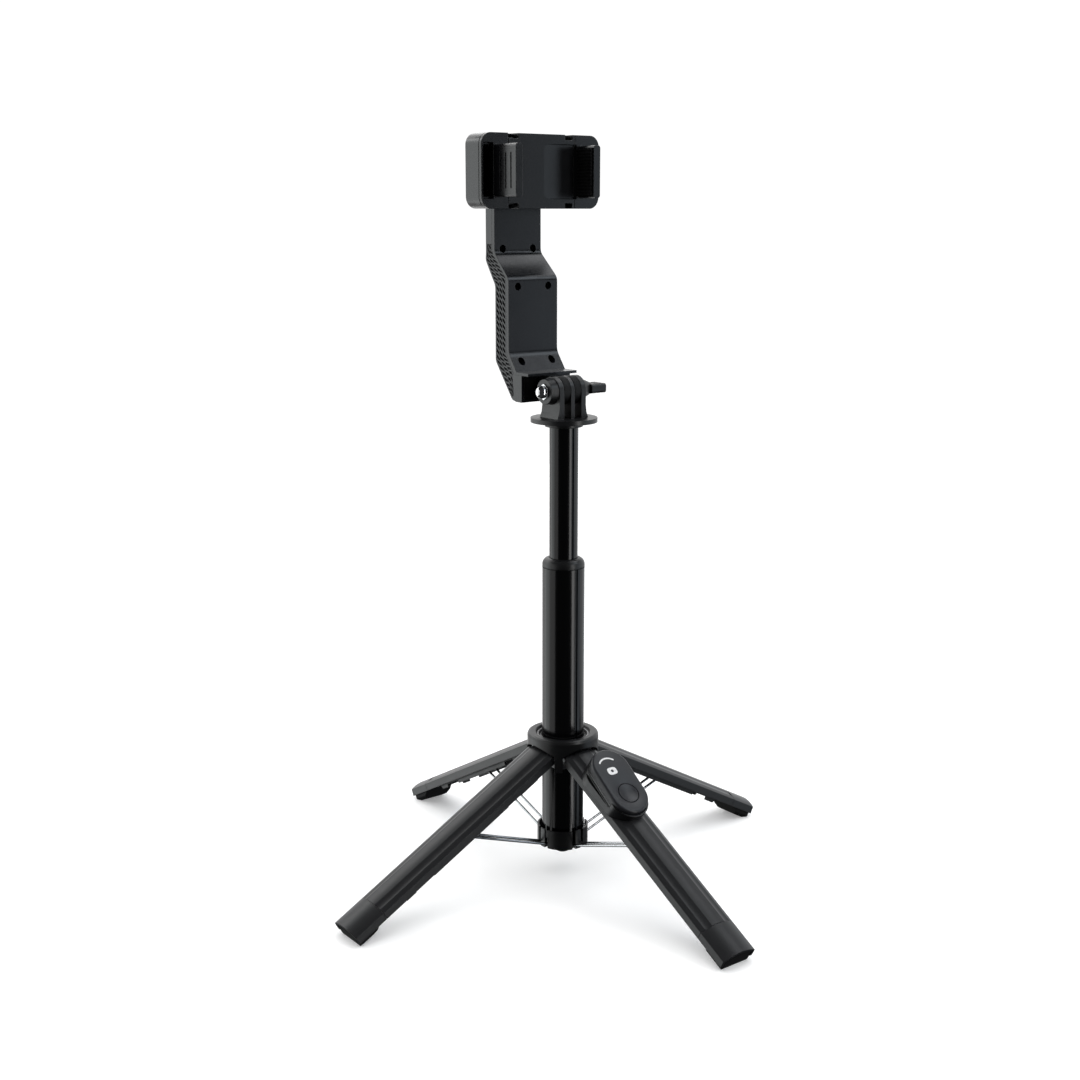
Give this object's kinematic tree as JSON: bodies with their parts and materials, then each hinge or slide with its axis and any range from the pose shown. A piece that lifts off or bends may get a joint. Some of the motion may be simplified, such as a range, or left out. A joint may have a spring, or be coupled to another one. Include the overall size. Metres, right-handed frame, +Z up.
{
  "type": "tripod selfie stick",
  "caption": "Telescopic selfie stick standing on a folding tripod base, with a tilting offset arm, a sprung phone clamp and a clip-on remote control.",
  "frame": {"origin": "on the ground, under the axis of the mast", "axes": "+Z up along the mast; the phone clamp and the leg with the remote face -Y; +X is the side of the thumb handle"},
  "size_m": [0.3076, 0.3076, 0.4359],
  "materials": {
    "leg_shell": "satin blue-grey moulded plastic",
    "leg_insert": "dark moulded plastic",
    "sole_rubber": "fine-grained rubber",
    "strut_wire": "bright steel wire",
    "tube_anodised": "dark anodised aluminium, drawn along its length",
    "mast_plastic": "satin moulded plastic",
    "glide_plastic": "natural acetal",
    "wiper_ring": "pale acetal ring",
    "black_screws": "black-oxide steel",
    "steel_fastener": "zinc-plated steel",
    "chrome_nut": "polished chrome",
    "spring_steel": "spring wire",
    "dock_plastic": "satin plastic",
    "remote_base_plastic": "fine-textured plastic",
    "remote_shell_plastic": "fine-textured plastic",
    "button_plastic": "satin plastic",
    "board": "glass-epoxy board with solder mask",
    "battery_steel": "stamped steel cell",
    "head_plastic": "satin glass-filled nylon",
    "black_plastic": "black moulded plastic",
    "arm_plastic": "satin blue-grey moulded plastic",
    "jaw_rubber": "ribbed rubber",
    "clamp_plastic": "satin blue-grey moulded plastic"
  },
  "bodies": {
    "mast": {"main_tube": "tube_anodised", "main_tube_cap": "mast_plastic", "strut_ring": "mast_plastic", "end_plug": "mast_plastic", "end_screw": "steel_fastener"},
    "middle_section": {"mid_tube": "tube_anodised", "mid_tube_cap": "mast_plastic", "mid_tube_glide": "glide_plastic"},
    "top_section": {"top_tube": "tube_anodised", "top_tube_glide": "glide_plastic", "head_mount": "head_plastic", "dome_nut": "chrome_nut"},
    "hub": {"hub_collar": "mast_plastic", "hub_bush": "mast_plastic", "bush_ring": "wiper_ring", "leg_pins": "steel_fastener"},
    "leg_front": {"leg_shell_front": "leg_shell", "leg_insert_front": "leg_insert", "foot_cap_front": "leg_shell", "foot_pad_front": "sole_rubber", "remote_dock": "dock_plastic"},
    "leg_right": {"leg_shell_right": "leg_shell", "leg_insert_right": "leg_insert", "foot_cap_right": "leg_shell", "foot_pad_right": "sole_rubber"},
    "leg_back": {"leg_shell_back": "leg_shell", "leg_insert_back": "leg_insert", "foot_cap_back": "leg_shell", "foot_pad_back": "sole_rubber"},
    "leg_left": {"leg_shell_left": "leg_shell", "leg_insert_left": "leg_insert", "foot_cap_left": "leg_shell", "foot_pad_left": "sole_rubber"},
    "strut_front_body": {"strut_front": "strut_wire"},
    "strut_right_body": {"strut_right": "strut_wire"},
    "strut_back_body": {"strut_back": "strut_wire"},
    "strut_left_body": {"strut_left": "strut_wire"},
    "remote": {"remote_base": "remote_base_plastic", "remote_top_shell": "remote_shell_plastic", "remote_board": "board", "remote_battery": "battery_steel"},
    "button": {"remote_button": "button_plastic"},
    "tilt_bolt": {"head_bolt": "steel_fastener", "thumb_handle": "head_plastic"},
    "arm": {"arm_front_shell": "arm_plastic", "arm_back_shell": "arm_plastic", "arm_hinge_block": "black_plastic", "arm_screws": "black_screws", "pivot_washer": "black_plastic"},
    "clamp": {"clamp_front_plate": "clamp_plastic", "clamp_back_cover": "clamp_plastic", "clamp_screws": "steel_fastener", "pivot_screw": "steel_fastener", "clamp_springs": "spring_steel"},
    "left_end": {"clamp_left_end": "clamp_plastic", "clamp_left_pad": "jaw_rubber"},
    "right_end": {"clamp_right_end": "clamp_plastic", "clamp_right_pad": "jaw_rubber"}
  },
  "joints": [
    {"name": "hub_slide", "type": "slide", "parent": "mast", "child": "hub", "axis": [0, 0, 1], "range_m": [0, 0.07942]},
    {"name": "middle_slide", "type": "slide", "parent": "mast", "child": "middle_section", "axis": [0, 0, 1], "range_m": [0, 0.135]},
    {"name": "top_slide", "type": "slide", "parent": "middle_section", "child": "top_section", "axis": [0, 0, 1], "range_m": [-0.0761, 0.06]},
    {"name": "leg_front_fold", "type": "hinge", "parent": "hub", "child": "leg_front", "pos_m": [0, -0.0159, 0.07843], "axis": [1, 0, 0], "range_deg": [0, 60.3]},
    {"name": "leg_right_fold", "type": "hinge", "parent": "hub", "child": "leg_right", "pos_m": [0.0159, 0, 0.07843], "axis": [0, 1, 0], "range_deg": [0, 60.3]},
    {"name": "leg_back_fold", "type": "hinge", "parent": "hub", "child": "leg_back", "pos_m": [0, 0.0159, 0.07843], "axis": [-1, 0, 0], "range_deg": [0, 60.3]},
    {"name": "leg_left_fold", "type": "hinge", "parent": "hub", "child": "leg_left", "pos_m": [-0.0159, 0, 0.07843], "axis": [0, -1, 0], "range_deg": [0, 60.3]},
    {"name": "strut_front_swing", "type": "hinge", "parent": "leg_front", "child": "strut_front_body", "pos_m": [0, -0.07625, 0.0435], "axis": [1, 0, 0], "range_deg": [-129.2, 0]},
    {"name": "strut_right_swing", "type": "hinge", "parent": "leg_right", "child": "strut_right_body", "pos_m": [0.07625, 0, 0.0435], "axis": [0, 1, 0], "range_deg": [-129.2, 0]},
    {"name": "strut_back_swing", "type": "hinge", "parent": "leg_back", "child": "strut_back_body", "pos_m": [0, 0.07625, 0.0435], "axis": [-1, 0, 0], "range_deg": [-129.2, 0]},
    {"name": "strut_left_swing", "type": "hinge", "parent": "leg_left", "child": "strut_left_body", "pos_m": [-0.07625, 0, 0.0435], "axis": [0, -1, 0], "range_deg": [-129.2, 0]},
    {"name": "arm_tilt", "type": "hinge", "parent": "top_section", "child": "arm", "pos_m": [0, 0, 0.294], "axis": [1, 0, 0], "range_deg": [-18, 180]},
    {"name": "thumb_turn", "type": "hinge", "parent": "top_section", "child": "tilt_bolt", "pos_m": [0, 0, 0.294], "axis": [1, 0, 0], "range_deg": [-180, 180]},
    {"name": "clamp_turn", "type": "hinge", "parent": "arm", "child": "clamp", "pos_m": [0, 0.04, 0.4154], "axis": [0, 1, 0], "range_deg": [-90, 0]},
    {"name": "left_jaw_slide", "type": "slide", "parent": "clamp", "child": "left_end", "axis": [-1, 0, 0], "range_m": [0, 0.0075], "stiffness_N_per_m": 120, "springref_m": -0.01},
    {"name": "right_jaw_slide", "type": "slide", "parent": "clamp", "child": "right_end", "axis": [1, 0, 0], "range_m": [0, 0.02], "stiffness_N_per_m": 120, "springref_m": -0.01},
    {"name": "remote_lift", "type": "slide", "parent": "leg_front", "child": "remote", "axis": [0, -0.6018, 0.7986], "range_m": [0, 0.03]},
    {"name": "button_press", "type": "slide", "parent": "remote", "child": "button", "axis": [0, 0.6018, -0.7986], "range_m": [0, 0.0005], "stiffness_N_per_m": 300}
  ],
  "couplings": [
    {"joint": "leg_front_fold", "follows": "hub_slide", "rad_per_m": 13.229},
    {"joint": "leg_right_fold", "follows": "hub_slide", "rad_per_m": 13.229},
    {"joint": "leg_back_fold", "follows": "hub_slide", "rad_per_m": 13.229},
    {"joint": "leg_left_fold", "follows": "hub_slide", "rad_per_m": 13.229},
    {"joint": "strut_front_swing", "follows": "hub_slide", "rad_per_m": -28.373},
    {"joint": "strut_right_swing", "follows": "hub_slide", "rad_per_m": -28.373},
    {"joint": "strut_back_swing", "follows": "hub_slide", "rad_per_m": -28.373},
    {"joint": "strut_left_swing", "follows": "hub_slide", "rad_per_m": -28.373}
  ]
}
